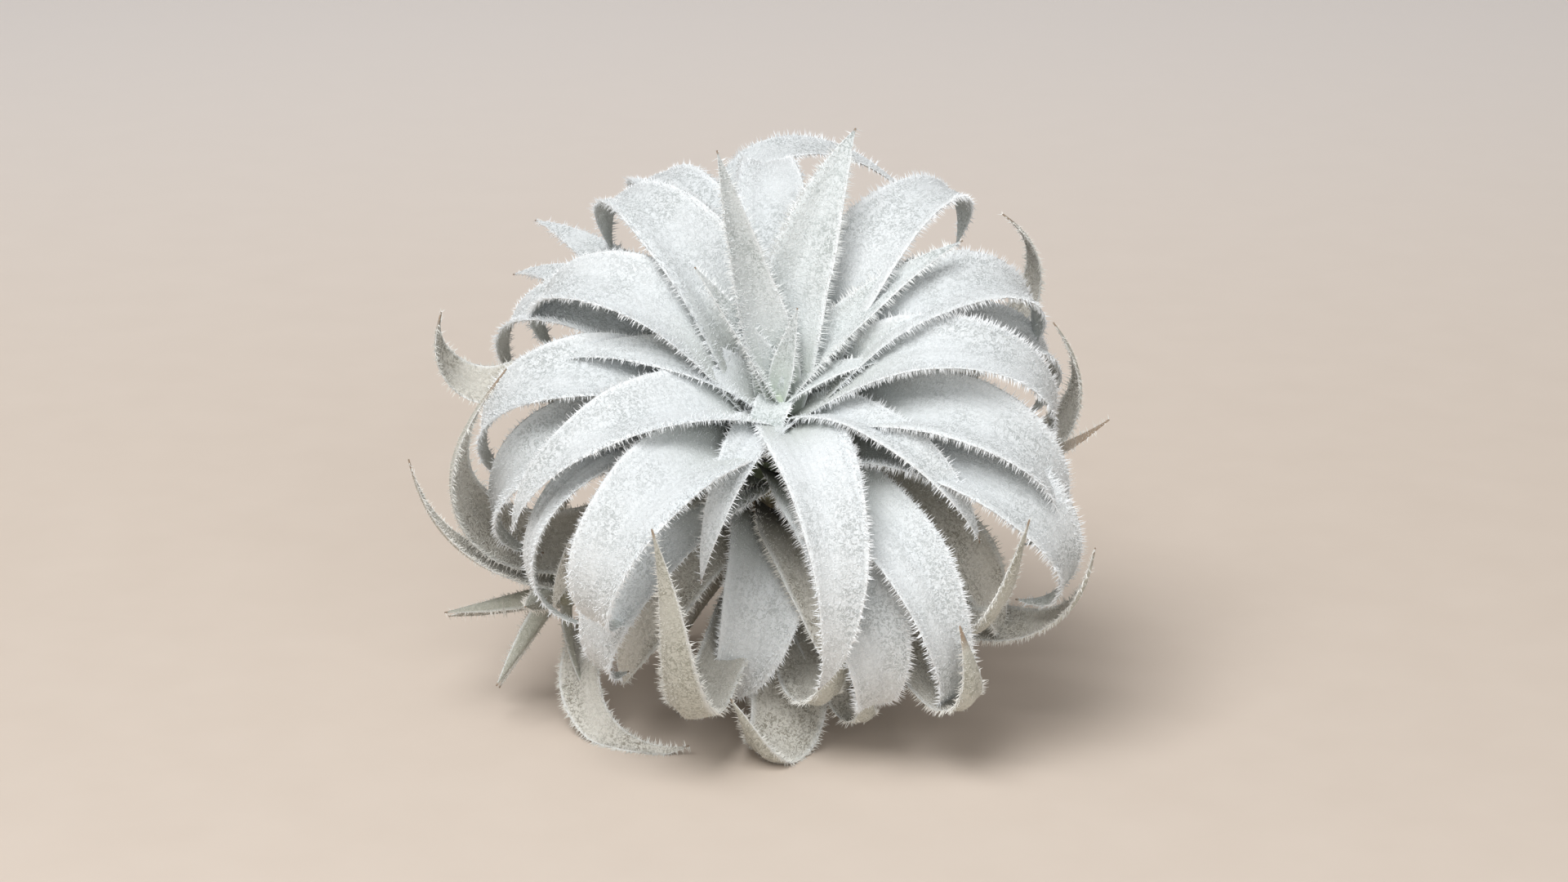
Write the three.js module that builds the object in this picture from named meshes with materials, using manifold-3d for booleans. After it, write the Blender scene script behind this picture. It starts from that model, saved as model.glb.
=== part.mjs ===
// A silver air plant: a rosette of arching tapered leaves on a short stem, with one small offset at its
// lower left. The plant lies on its oldest leaves, which are flattened where they touch the ground, and
// its rosette leans forward. Millimetres, +Z up, the front of the plant towards -Y.
import * as THREE from "three";
import { mergeVertices } from "three/addons/utils/BufferGeometryUtils.js";
import Module from "manifold-3d";

const wasm = await Module();
wasm.setup();

// The growing point, where the youngest leaves meet, and how far the rosette leans towards the front.
const HEART = new THREE.Vector3(3.11, -12.22, 62.3);
const LEAN_DEG = 29;
const fromHeart = (x, y, z) => new THREE.Vector3(x, y, z).add(HEART);

// The stem widens from the growing point down to a plain round column, and ends in a dry cut.
const STEM_RADIUS = 7;
const STEM_LENGTH = 39;
const STEM_SHOULDER = 16;
const STEM_TOP = 3.4;
const STEM_SIDES = 16;
const STEM_CHAMFER = 1.2;
const STEM_DISH = 1;
const STEM_TOP_ROUNDING = 1;
const STEM_TOP_FALL = 0.2;
const STEM_RINGS = [4.4, 8, 12, 15];
const COLLAR_HEIGHT = 4;
const COLLAR_THICKNESS = 2.2;
const COLLAR_FOOT = 0.5;

// A leaf's blade: its thickness down the middle and along its edges, how much thinner and flatter it gets
// towards its tip, and how its width grows and tapers.
const MIDDLE_THICKNESS = 1.3;
const EDGE_THICKNESS = 0.65;
const THINNING = 0.5;
const FLATTENING = 0.3;
const TIP_HALF_WIDTH = 0.3;
const BASE_WIDTH_SHARE = 0.45;
const FULL_WIDTH_AT = 0.25;
const TAPER_POWER = 1.5;
const ARCHING_TAPER = 0.45;
const LEAF_START = 0.45;
const DEGREES_PER_STATION = 28;
const FEWEST_STATIONS = 5;
const LEAST_TURN_DEG = 20;
const PATH_STEPS = 240;
const SWAY_POWER = 1.2;

// The clearance kept between neighbouring pieces.
const GAP = 0.3;

// A block of ground under the plant, wider than the plant.
const GROUND_WIDTH = 400;
const GROUND_DEPTH = 60;

// Colours of the living leaves, the old ones and the stem.
const SILVER = 0xdde3df;
const GREY = 0xc9cec7;
const BROWN = 0x8a7a63;

const radians = THREE.MathUtils.degToRad;

// Each leaf is turned round the stem from the front towards +X, starts low below the growing point, leaves
// the axis by rise and bends outwards by bend along its length. late is the power that delays the bend,
// curl turns the last part back from curlAt on, with snap as its sharpness, sway turns it sideways from
// swayAt on, roll twists it, fold is the depth of its channel, and it tapers from taper on. Angles are in
// degrees.
const USUAL = { late: 1.15, curl: 0, curlAt: 0.5, snap: 1.7, sway: 0, swayAt: 0, roll: 0, fold: 0.28,
  taper: 0.3 };

// The newest leaves grow from one small round heart. The first of them is the closed bud.
const HEART_RADIUS = 2.4;
const HEART_DROP = 1.3;
const heartLeaves = [
  { turn: 150, low: -0.5, rise: 10, bend: 5, long: 5, wide: 2.4, fold: 0.5 },
  { turn: 150, low: 0, rise: 12.5, bend: 10, long: 18, wide: 4.5, fold: 0.6 },
  { turn: -20, low: 1.3, rise: 20, bend: 215, long: 11, wide: 6.4, late: 1.1, fold: 0.3, taper: 0.75 },
  { turn: 86, low: 1.3, rise: 31, bend: 52, long: 22, wide: 5.5 },
];

const spearLeaves = [
  { turn: -115, low: 1.5, rise: 22, bend: 15, long: 31, wide: 6, fold: 0.5 },
  { turn: -149, low: 3, rise: 23, bend: 0, long: 49.5, wide: 9, fold: 0.45 },
  { turn: 168, low: 4, rise: 25, bend: 35, long: 52, wide: 11.5, sway: -18, swayAt: 0.15, taper: 0.5 },
  { turn: 120, low: 3, rise: 33, bend: 50, long: 44, wide: 8, fold: 0.45 },
];

const youngLeaves = [
  { turn: -22, low: 6, rise: 38, bend: 130, long: 43.5, wide: 9, taper: 0.12 },
  { turn: -97, low: 4, rise: 38, bend: 85, long: 43, wide: 10 },
  { turn: 52, low: 5, rise: 36, bend: 125, long: 52, wide: 8, taper: 0.45 },
  { turn: 17, low: 6.5, rise: 36, bend: 158, long: 67, wide: 14, late: 1, sway: -25, swayAt: 0.35 },
  { turn: -65.5, low: 6, rise: 43, bend: 130, long: 63, wide: 14, late: 1.4 },
];

const archingLeaves = [
  { turn: 87, low: 7, rise: 33, bend: 205, long: 76, wide: 14, late: 1.75 },
  { turn: 113, low: 7, rise: 34, bend: 190, long: 75, wide: 15, late: 1.85 },
  { turn: 140, low: 8, rise: 30, bend: 180, long: 76, wide: 14, late: 2.15 },
  { turn: -177, low: 8, rise: 30, bend: 180, long: 72, wide: 14, late: 2.15 },
  { turn: -114, low: 8, rise: 34, bend: 195, long: 71, wide: 15, late: 2.05 },
  { turn: -142, low: 9, rise: 32, bend: 180, long: 75, wide: 15, late: 2.15 },
  { turn: -154, low: 12, rise: 38, bend: 180, long: 82, wide: 15, late: 2.15 },
  { turn: -39, low: 10, rise: 52, bend: 215, long: 76, wide: 16, late: 2.2 },
  { turn: 35, low: 16, rise: 54, bend: 190, long: 81, wide: 12.5, late: 1.6 },
  { turn: 70, low: 10, rise: 44, bend: 195, long: 78, wide: 15, late: 1.85 },
  { turn: -4, low: 30, rise: 37, bend: 188, long: 53, wide: 15.5, late: 1, sway: -50, swayAt: 0.25,
    taper: 0.38 },
  { turn: -91, low: 11, rise: 46, bend: 190, long: 78, wide: 15, late: 1.85 },
  { turn: 22, low: 15.5, rise: 62, bend: 200, long: 74, wide: 15, late: 1.65 },
  { turn: -116, low: 13, rise: 46, bend: 170, long: 77, wide: 15, late: 1.95 },
  { turn: 62, low: 13, rise: 57, bend: 200, long: 82, wide: 16, late: 2.2 },
  { turn: -66, low: 13, rise: 50, bend: 205, long: 79, wide: 8, late: 1.75, roll: 30 },
  { turn: 110, low: 14, rise: 47, bend: 185, long: 74, wide: 15, late: 2.05 },
  { turn: -78, low: 14, rise: 52, bend: 195, long: 77, wide: 15, late: 1.85 },
  { turn: -43, low: 17, rise: 70, bend: 175, long: 67, wide: 15, late: 2 },
  { turn: 136, low: 15, rise: 48, bend: 195, long: 76, wide: 15, late: 1.85 },
  { turn: 163, low: 16, rise: 50, bend: 195, long: 76, wide: 15, late: 1.85 },
  { turn: -172, low: 17, rise: 52, bend: 195, long: 76, wide: 15, late: 1.85 },
];

const lowerLeaves = [
  { turn: -130, low: 15, rise: 47, bend: 85, long: 68, wide: 11, late: 1.2, taper: 0.5 },
  { turn: -139, low: 20, rise: 49, bend: 66, long: 72, wide: 10, late: 1.2, taper: 0.5 },
  { turn: 148, low: 24, rise: 70, bend: 130, long: 66, wide: 14, late: 1.3 },
  { turn: 176, low: 26, rise: 74, bend: 130, long: 63, wide: 14, late: 1.3 },
  { turn: -155, low: 25, rise: 72, bend: 130, long: 64, wide: 14, late: 1.3 },
  { turn: -116, low: 26, rise: 84, bend: 100, long: 62, wide: 13, late: 1.3 },
  { turn: 130, low: 27, rise: 84, bend: 105, long: 64, wide: 13, late: 1.3 },
  { turn: -62, low: 19, rise: 60, bend: 110, long: 53, wide: 15, late: 1.3 },
  { turn: -47, low: 26, rise: 84, bend: 85, long: 46, wide: 13, late: 1.3, taper: 0.6 },
  { turn: 14, low: 24, rise: 70, bend: 75, long: 40, wide: 14, late: 1.3 },
  { turn: 61, low: 20, rise: 66, bend: 118, long: 57, wide: 14, late: 1.3, taper: 0.6 },
];

// Old leaves whose dry ends have curled up again. The lowest in front helps to carry the plant.
const curledLeaves = [
  { turn: -18.5, low: 33, rise: 95, bend: 5, long: 91, wide: 9, curl: -112, curlAt: 0.4, snap: 4,
    sway: -22, swayAt: 0.35, taper: 0.5 },
  { turn: 8, low: 30, rise: 108, bend: 8, long: 61, wide: 11, curl: -135, curlAt: 0.47, snap: 2,
    sway: 66, swayAt: 0.45 },
  { turn: 3, low: 33, rise: 110, bend: 15, long: 62, wide: 14, curl: -120, curlAt: 0.6, snap: 2.5,
    sway: -95, swayAt: 0.45, taper: 0.5 },
  { turn: 21, low: 33, rise: 102, bend: 25, long: 52, wide: 13, curl: -150, curlAt: 0.65 },
  { turn: 35.5, low: 28, rise: 90, bend: 25, long: 74, wide: 13, curl: -142, curlAt: 0.61, snap: 2 },
  { turn: 46.5, low: 25, rise: 97, bend: 5, long: 77, wide: 10, curl: -100, curlAt: 0.42, snap: 2.5,
    sway: 18, swayAt: 0.5, taper: 0.5 },
  { turn: 62.5, low: 34, rise: 97, bend: 10, long: 79, wide: 11, curl: -102, curlAt: 0.42 },
  { turn: 88, low: 22, rise: 80, bend: 5, long: 60, wide: 8, curl: -45, curlAt: 0.6 },
  { turn: 103, low: 28, rise: 88, bend: 10, long: 82, wide: 12, curl: -125, curlAt: 0.45 },
  { turn: 124, low: 22, rise: 78, bend: 10, long: 84, wide: 10, curl: -125, curlAt: 0.5 },
  { turn: -164, low: 17, rise: 45, bend: 90, long: 100, wide: 7, sway: -130, swayAt: 0.31,
    taper: 0.75 },
  { turn: -104, low: 18, rise: 52, bend: 100, long: 78, wide: 13, curl: -165, curlAt: 0.68,
    taper: 0.5 },
  { turn: -81, low: 30, rise: 92, bend: 20, long: 96, wide: 13, curl: -138, curlAt: 0.36, sway: -52,
    swayAt: 0.3, roll: -30, taper: 0.55 },
  { turn: -76, low: 34, rise: 96, bend: 15, long: 87, wide: 9, curl: -105, curlAt: 0.3, snap: 1.4 },
];

// The oldest leaves, which the plant lies on.
const baseLeaves = [
  { turn: -80, low: 36, rise: 103, bend: 27, long: 77, wide: 8, sway: 178, swayAt: 0.2, taper: 0.6 },
  { turn: 75, low: 36, rise: 134, bend: 10, long: 48, wide: 12, curl: -50, curlAt: 0.75 },
  { turn: 135, low: 36, rise: 160, bend: 10, long: 51, wide: 12, curl: -60, curlAt: 0.78 },
  { turn: -165, low: 36, rise: 168, bend: 10, long: 49, wide: 12, curl: -65, curlAt: 0.78 },
  { turn: -112, low: 36, rise: 153, bend: 8, long: 52.5, wide: 12, curl: -60, curlAt: 0.75 },
  { turn: 103, low: 36, rise: 120, bend: 60, long: 48, wide: 12 },
  { turn: 160, low: 36, rise: 124, bend: 62, long: 48, wide: 12 },
  { turn: -140, low: 36, rise: 122, bend: 62, long: 48, wide: 12 },
];

// The offset is a small rosette at the end of a runner from the foot of the stem.
const OFFSET_HEART = fromHeart(-42, 9.2, -40.5);
const OFFSET_AXIS = new THREE.Vector3(-0.78, -0.25, -0.5).normalize();
const OFFSET_LEAVES = 8;
const OFFSET_BODY_RADIUS = 4;
const OFFSET_BODY_DROP = 3;
const OFFSET_LEAF_START = 1.2;
const RUNNER_RADIUS = 2;
const RUNNER_START = fromHeart(-2.8, 16.2, -32.5);
const RUNNER_BEND = fromHeart(-21, 12.2, -37);

// The stem's radius at a depth below the growing point: a rounded shoulder, then a plain column.
function stemRadius(low) {
  return STEM_RADIUS * Math.sqrt(THREE.MathUtils.clamp((low + 1) / STEM_SHOULDER, 0.02, 1));
}

// The blade's share of its full width at t along it: it widens from the base and tapers to a point.
function widthShare(t, taperFrom) {
  const widening = Math.sin((Math.min(t / FULL_WIDTH_AT, 1) * Math.PI) / 2);
  const taper = Math.max(0, (t - taperFrom) / (1 - taperFrom));
  return (BASE_WIDTH_SHARE + (1 - BASE_WIDTH_SHARE) * widening) * (1 - taper ** TAPER_POWER);
}

// Walks along a leaf in small steps, turning its frame (along, across, up) as it bends, sways and rolls.
// The frame is the rosette's own: its axis is +Z and its front is -Y.
function leafPath(given, start) {
  const leaf = { ...USUAL, ...given };
  const turn = radians(leaf.turn);
  const rise = radians(leaf.rise);
  const out = new THREE.Vector3(Math.sin(turn), -Math.cos(turn), 0);
  const axis = new THREE.Vector3(0, 0, 1);
  let along = axis.clone().multiplyScalar(Math.cos(rise)).addScaledVector(out, Math.sin(rise));
  let across = new THREE.Vector3(Math.cos(turn), Math.sin(turn), 0);
  let up = axis.clone().multiplyScalar(Math.sin(rise)).addScaledVector(out, -Math.cos(rise));
  const place = out.multiplyScalar(start).addScaledVector(axis, -leaf.low);
  const curled = (t) => 1 - (1 - Math.max(0, (t - leaf.curlAt) / (1 - leaf.curlAt))) ** leaf.snap;
  const pitch = (t) => radians(leaf.bend * t ** leaf.late + leaf.curl * curled(t));
  const swayed = (t) => Math.max(0, (t - leaf.swayAt) / (1 - leaf.swayAt)) ** SWAY_POWER;
  const yaw = (t) => radians(leaf.sway * swayed(t));
  const roll = (t) => radians(leaf.roll * t);
  const path = [];
  let turned = 0;
  for (let step = 0; step <= PATH_STEPS; step += 1) {
    const t = step / PATH_STEPS;
    path.push({ t, turned, place: place.clone(), along, across, up });
    const next = Math.min(step + 1, PATH_STEPS) / PATH_STEPS;
    const before = along;
    const turns = [pitch(next) - pitch(t), yaw(next) - yaw(t), roll(next) - roll(t)];
    [along, up] = turnPair(along, up, -turns[0]);
    [along, across] = turnPair(along, across, turns[1]);
    [across, up] = turnPair(across, up, turns[2]);
    turned += Math.hypot(turns[0], turns[1], 0.5 * turns[2]);
    place.addScaledVector(before.clone().add(along), leaf.long / PATH_STEPS / 2);
  }
  return { leaf, path, turned };
}

// Turns two perpendicular unit vectors in their plane, from the first towards the second.
function turnPair(first, second, angle) {
  const c = Math.cos(angle);
  const s = Math.sin(angle);
  return [
    first.clone().multiplyScalar(c).addScaledVector(second, s),
    second.clone().multiplyScalar(c).addScaledVector(first, -s),
  ];
}

// Picks the stations of a path, close together where it turns and further apart where it runs straight.
function stationsOf({ leaf, path, turned }) {
  const count = FEWEST_STATIONS + Math.round(THREE.MathUtils.radToDeg(turned) / DEGREES_PER_STATION);
  const measure = (p) => (p.t + p.turned / Math.max(turned, radians(LEAST_TURN_DEG))) / 2;
  const whole = measure(path[path.length - 1]);
  const stations = [];
  for (let k = 0; k <= count; k += 1) {
    const wanted = (whole * k) / count;
    stations.push(path.find((p) => measure(p) >= wanted - 1e-9) ?? path[path.length - 1]);
  }
  return { leaf, stations: stations.filter((p, k) => k === 0 || p !== stations[k - 1]) };
}

// A leaf's closed blade: at each station three points above and three below, raised at the edges into a
// shallow channel. Both faces are split into triangles alike. grow makes it larger all round.
function bladeGeometry(given, start, grow = 0) {
  const { leaf, stations } = stationsOf(leafPath(given, start));
  const points = [];
  const last = stations.length - 1;
  stations.forEach(({ t, place, along, across, up }, k) => {
    const half = Math.max((leaf.wide / 2) * widthShare(t, leaf.taper), TIP_HALF_WIDTH) + grow;
    const middle = (MIDDLE_THICKNESS - THINNING * t) / 2 + grow;
    const edge = EDGE_THICKNESS / 2 + grow;
    const lift = leaf.fold * (1 - FLATTENING * t) * half;
    const end = (k === last ? grow : 0) - (k === 0 ? grow : 0);
    for (const [side, height] of [[-1, lift + edge], [0, middle], [1, lift + edge],
      [-1, lift - edge], [0, -middle], [1, lift - edge]]) {
      points.push(place.clone().addScaledVector(across, side * half).addScaledVector(up, height)
        .addScaledVector(along, end));
    }
  });
  const faces = [];
  const quad = (a, b, c, d) => faces.push(a, c, b, a, d, c);
  for (let k = 0; k < last; k += 1) {
    const a = 6 * k;
    const b = a + 6;
    quad(a, a + 1, b + 1, b);
    quad(a + 1, a + 2, b + 2, b + 1);
    quad(b + 4, a + 4, a + 3, b + 3);
    quad(b + 5, a + 5, a + 4, b + 4);
    quad(a, b, b + 3, a + 3);
    quad(a + 2, a + 5, b + 5, b + 2);
  }
  const end = 6 * last;
  quad(0, 3, 4, 1);
  quad(1, 4, 5, 2);
  quad(end, end + 1, end + 4, end + 3);
  quad(end + 1, end + 2, end + 5, end + 4);
  return geometryOf(points.flatMap((p) => p.toArray()), faces);
}

function geometryOf(numbers, faces) {
  const geometry = new THREE.BufferGeometry();
  geometry.setAttribute("position", new THREE.Float32BufferAttribute(numbers, 3));
  geometry.setIndex(faces);
  return geometry;
}

// The stem as a turned column, its round shoulder at the top and its cut foot slightly dished.
function stemGeometry(grow = 0) {
  const profile = [new THREE.Vector2(0, grow - STEM_TOP)];
  profile.push(new THREE.Vector2(stemRadius(STEM_TOP) - STEM_TOP_ROUNDING + grow,
    grow - STEM_TOP - STEM_TOP_FALL));
  for (const low of [...STEM_RINGS, STEM_LENGTH - STEM_CHAMFER]) {
    profile.push(new THREE.Vector2(stemRadius(low) + grow, -low));
  }
  profile.push(new THREE.Vector2(STEM_RADIUS - STEM_CHAMFER + grow, -STEM_LENGTH - grow));
  profile.push(new THREE.Vector2(0, -STEM_LENGTH + STEM_DISH - grow));
  profile.reverse();
  return new THREE.LatheGeometry(profile, STEM_SIDES).rotateX(Math.PI / 2);
}

// The collar of dry leaf bases, a plain ring.
function collarGeometry(grow = 0) {
  const inner = STEM_RADIUS + 2 * GAP - grow;
  const outer = STEM_RADIUS + COLLAR_THICKNESS + grow;
  const top = -STEM_LENGTH + COLLAR_HEIGHT + grow;
  const bottom = -STEM_LENGTH + COLLAR_FOOT - grow;
  const profile = [[inner, bottom], [outer, bottom], [outer, top], [inner, top], [inner, bottom]];
  return new THREE.LatheGeometry(profile.map(([x, y]) => new THREE.Vector2(x, y)), STEM_SIDES)
    .rotateX(Math.PI / 2);
}

// A closed geometry as a solid, and a solid as a geometry.
function solidOf(geometry) {
  const plain = geometry.clone();
  plain.deleteAttribute("normal");
  plain.deleteAttribute("uv");
  const merged = mergeVertices(plain, 1e-4);
  return new wasm.Manifold(new wasm.Mesh({
    numProp: 3,
    vertProperties: new Float32Array(merged.attributes.position.array),
    triVerts: new Uint32Array(merged.index.array),
  }));
}

function geometryFrom(solid) {
  const { numProp, vertProperties, triVerts } = solid.getMesh();
  const numbers = [];
  for (let k = 0; k < vertProperties.length; k += numProp) {
    numbers.push(vertProperties[k], vertProperties[k + 1], vertProperties[k + 2]);
  }
  const geometry = geometryOf(numbers, [...triVerts]);
  geometry.computeVertexNormals();
  return geometry;
}

function largestPiece(solid) {
  return solid.decompose().sort((a, b) => b.volume() - a.volume())[0];
}

// A short smooth tube through three points, for the offset's runner.
function runnerGeometry(from, through, to, radius) {
  const section = new THREE.Shape().absarc(0, 0, radius, 0, 2 * Math.PI);
  const line = new THREE.QuadraticBezierCurve3(from, through, to);
  return new THREE.ExtrudeGeometry(section, { curveSegments: 4, steps: 8, extrudePath: line });
}

// The offset in the plant's upright frame: a round body, its pointed leaves in two turns, and its runner.
function offsetGeometries() {
  const facing = new THREE.Quaternion().setFromUnitVectors(new THREE.Vector3(0, 0, 1), OFFSET_AXIS);
  const place = new THREE.Matrix4().compose(OFFSET_HEART, facing, new THREE.Vector3(1, 1, 1));
  const pieces = [new THREE.SphereGeometry(OFFSET_BODY_RADIUS, 8, 5).translate(0, 0, -OFFSET_BODY_DROP)];
  for (let k = 0; k < OFFSET_LEAVES; k += 1) {
    const outer = k % 2;
    pieces.push(bladeGeometry({
      turn: (k * 360) / OFFSET_LEAVES,
      low: 2.5 + outer * 1.5,
      rise: 22 + outer * 26,
      bend: 12 + outer * 22,
      long: 22 - outer * 2,
      wide: 4.6,
      fold: 0.4,
    }, OFFSET_LEAF_START));
  }
  pieces.forEach((piece) => piece.applyMatrix4(place));
  pieces.push(runnerGeometry(RUNNER_START, RUNNER_BEND, OFFSET_HEART, RUNNER_RADIUS));
  return pieces;
}

const rosette = new THREE.Group();
rosette.position.copy(HEART);
rosette.rotation.x = radians(LEAN_DEG);
rosette.updateMatrix();
const upright = rosette.matrix.clone().invert();

const group = new THREE.Group();
group.add(rosette);

function addPiece(name, solid, colour) {
  const material = new THREE.MeshStandardMaterial({ color: colour, roughness: 0.95, metalness: 0 });
  const mesh = new THREE.Mesh(geometryFrom(solid), material);
  mesh.name = name;
  rosette.add(mesh);
}

// The ground, as a block in the rosette's frame: what would sink into it is cut flat.
const ground = solidOf(new THREE.BoxGeometry(GROUND_WIDTH, GROUND_WIDTH, GROUND_DEPTH)
  .translate(0, 0, -GROUND_DEPTH / 2).applyMatrix4(upright));

// The stem comes first. taken holds what is already there, a gap larger all round.
addPiece("stem", solidOf(stemGeometry()), BROWN);
const taken = [solidOf(stemGeometry(GAP))];

function cutBack(solid) {
  return largestPiece(taken.reduce((rest, other) => rest.subtract(other), solid).subtract(ground));
}

const leafSolid = (leaf, grow) => solidOf(bladeGeometry(leaf, stemRadius(leaf.low) * LEAF_START, grow));
const joined = (solids) => solids.reduce((whole, solid) => whole.add(solid));

// Every leaf is cut back where it would touch the stem or a younger leaf, and keeps its largest piece.
function addLeaves(kind, leaves, colour) {
  leaves.forEach((leaf, k) => {
    addPiece(`${kind}_leaf_${k + 1}`, cutBack(leafSolid(leaf)), colour);
    taken.push(leafSolid(leaf, GAP));
  });
}

const heartSolid = (grow) => joined([
  solidOf(new THREE.SphereGeometry(HEART_RADIUS + grow, 8, 5).translate(0, 0, -HEART_DROP)),
  ...heartLeaves.map((leaf) => leafSolid(leaf, grow)),
]);
addPiece("heart", cutBack(heartSolid(0)), SILVER);
taken.push(heartSolid(GAP));
addLeaves("spear", spearLeaves, SILVER);
addLeaves("young", youngLeaves, SILVER);
addLeaves("arching", archingLeaves.map((leaf) => ({ taper: ARCHING_TAPER, ...leaf })), SILVER);
addLeaves("lower", lowerLeaves, GREY);
addLeaves("curled", curledLeaves, GREY);

// The oldest leaves hold together in a dry collar round the foot of the stem.
const collar = solidOf(collarGeometry());
addPiece("base_leaves", cutBack(joined([collar, ...baseLeaves.map((leaf) => leafSolid(leaf))])), GREY);
taken.push(solidOf(collarGeometry(GAP)), ...baseLeaves.map((leaf) => leafSolid(leaf, GAP)));

const offset = joined(offsetGeometries().map((piece) => solidOf(piece.applyMatrix4(upright))));
addPiece("offset", cutBack(offset), SILVER);

export default group;
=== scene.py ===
import math

import bpy
import numpy as np
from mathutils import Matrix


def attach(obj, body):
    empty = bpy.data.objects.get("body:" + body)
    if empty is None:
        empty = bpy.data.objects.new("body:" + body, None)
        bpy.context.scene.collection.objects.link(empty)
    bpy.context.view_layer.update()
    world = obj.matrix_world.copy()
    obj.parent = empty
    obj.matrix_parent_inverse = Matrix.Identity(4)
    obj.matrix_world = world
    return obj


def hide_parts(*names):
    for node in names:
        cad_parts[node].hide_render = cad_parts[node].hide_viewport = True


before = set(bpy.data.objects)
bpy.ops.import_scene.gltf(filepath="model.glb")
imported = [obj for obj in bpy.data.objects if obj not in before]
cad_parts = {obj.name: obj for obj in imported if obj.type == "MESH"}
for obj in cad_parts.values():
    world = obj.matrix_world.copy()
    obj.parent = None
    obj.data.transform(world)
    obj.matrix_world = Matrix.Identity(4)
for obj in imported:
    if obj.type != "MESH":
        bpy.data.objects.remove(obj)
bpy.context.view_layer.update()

# The stem is a short woody column in the middle of the plant, ringed by the scars of fallen leaves, and
# its foot is a dry brown cut. Every leaf clasps it. It is worked out upright, in millimetres from the
# growing point, and then leans forward with the whole rosette.
MM = 0.001
HEART = np.array([3.11, -12.22, 62.3])
LEAN = math.radians(29)
STEM_RADIUS = 7
STEM_LENGTH = 39
STEM_SHOULDER = 16
STEM_TOP = 3.4
SCAR_SPACING = 2.4
SCAR_DEPTH = 0.35
FIBRES = 17
FIBRE_DEPTH = 0.12
SHOULDER_START = 1
SHOULDER_LEAST = 0.02
DARK_BARK = (0.12, 0.075, 0.04, 1)
LIGHT_BARK = (0.42, 0.32, 0.2, 1)
GREEN_BARK = (0.3, 0.35, 0.22, 1)
BARK_DUST = (0.46, 0.42, 0.34, 1)
SPECULAR_LEVEL = 0.25
SHEEN_ROUGHNESS = 0.6
SKIN_RELIEF = 0.0004


def stem_radius(low):
    """The stem's radius at a depth below the growing point: a rounded shoulder, then a plain column."""
    return STEM_RADIUS * np.sqrt(np.clip((low + SHOULDER_START) / STEM_SHOULDER, SHOULDER_LEAST, 1))


def in_plant(points):
    """Turns points about X by the lean, moves them to the heart and gives them in metres."""
    x, y, z = np.moveaxis(points, -1, 0)
    turned = [x, y * math.cos(LEAN) - z * math.sin(LEAN), y * math.sin(LEAN) + z * math.cos(LEAN)]
    return (np.stack(turned, -1) + HEART) * MM


def ring_faces(rings, around, closed):
    """Quads between rings of points, which run anticlockwise about the way that the rings go. Where the
    rings don't close on themselves, two more points are the poles that a fan of triangles joins."""
    i, j = np.meshgrid(np.arange(rings if closed else rings - 1), np.arange(around), indexing="ij")
    here = i * around
    there = (i + 1) % rings * around
    following = (j + 1) % around
    quads = np.stack([here + j, here + following, there + following, there + j], -1).reshape(-1, 4)
    if closed:
        return quads, np.zeros((0, 3), int)
    k = np.arange(around)
    after = (k + 1) % around
    foot = rings * around
    last = (rings - 1) * around
    start = np.stack([np.full(around, foot), after, k], -1)
    end = np.stack([np.full(around, foot + 1), last + k, last + after], -1)
    return quads, np.concatenate([start, end])


def put_mesh(name, points, quads, triangles, fields, material, smooth=True):
    """A mesh object from arrays, with a value for each point in each field, riding on the plant."""
    mesh = bpy.data.meshes.new(name)
    corners = np.concatenate([quads.ravel(), triangles.ravel()])
    sizes = np.concatenate([np.full(len(quads), 4), np.full(len(triangles), 3)])
    mesh.vertices.add(len(points))
    mesh.vertices.foreach_set("co", points.astype(np.float32).ravel())
    mesh.loops.add(len(corners))
    mesh.loops.foreach_set("vertex_index", corners.astype(np.int32))
    mesh.polygons.add(len(sizes))
    mesh.polygons.foreach_set("loop_start", (np.cumsum(sizes) - sizes).astype(np.int32))
    mesh.polygons.foreach_set("use_smooth", np.full(len(sizes), smooth))
    for field, values in fields.items():
        attribute = mesh.attributes.new(field, "FLOAT", "POINT")
        attribute.data.foreach_set("value", values.astype(np.float32))
    mesh.update(calc_edges=True)
    mesh.validate()
    mesh.materials.append(material)
    piece = bpy.data.objects.new(name, mesh)
    bpy.context.scene.collection.objects.link(piece)
    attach(piece, "root")
    return piece


def put_surfaces(name, surfaces, material):
    """One piece made of several ringed surfaces. Each is its points, ring by ring, whether its rings
    close on themselves, and its fields."""
    all_points, all_quads, all_triangles, all_fields = [], [], [], {}
    count = 0
    for points, closed, fields in surfaces:
        rings, around = points.shape[:2]
        quads, triangles = ring_faces(rings, around, closed)
        flat = points.reshape(-1, 3)
        poles = np.zeros((0, 3)) if closed else points[[0, -1]].mean(1)
        all_points.append(np.concatenate([flat, poles]))
        all_quads.append(quads + count)
        all_triangles.append(triangles + count)
        for field, values in fields.items():
            ends = [] if closed else values[[0, -1]].mean(1)
            all_fields.setdefault(field, []).append(np.concatenate([values.ravel(), ends]))
        count += len(flat) + len(poles)
    fields = {field: np.concatenate(parts) for field, parts in all_fields.items()}
    faces = np.concatenate(all_quads), np.concatenate(all_triangles)
    return put_mesh(name, np.concatenate(all_points), *faces, fields, material)


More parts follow.
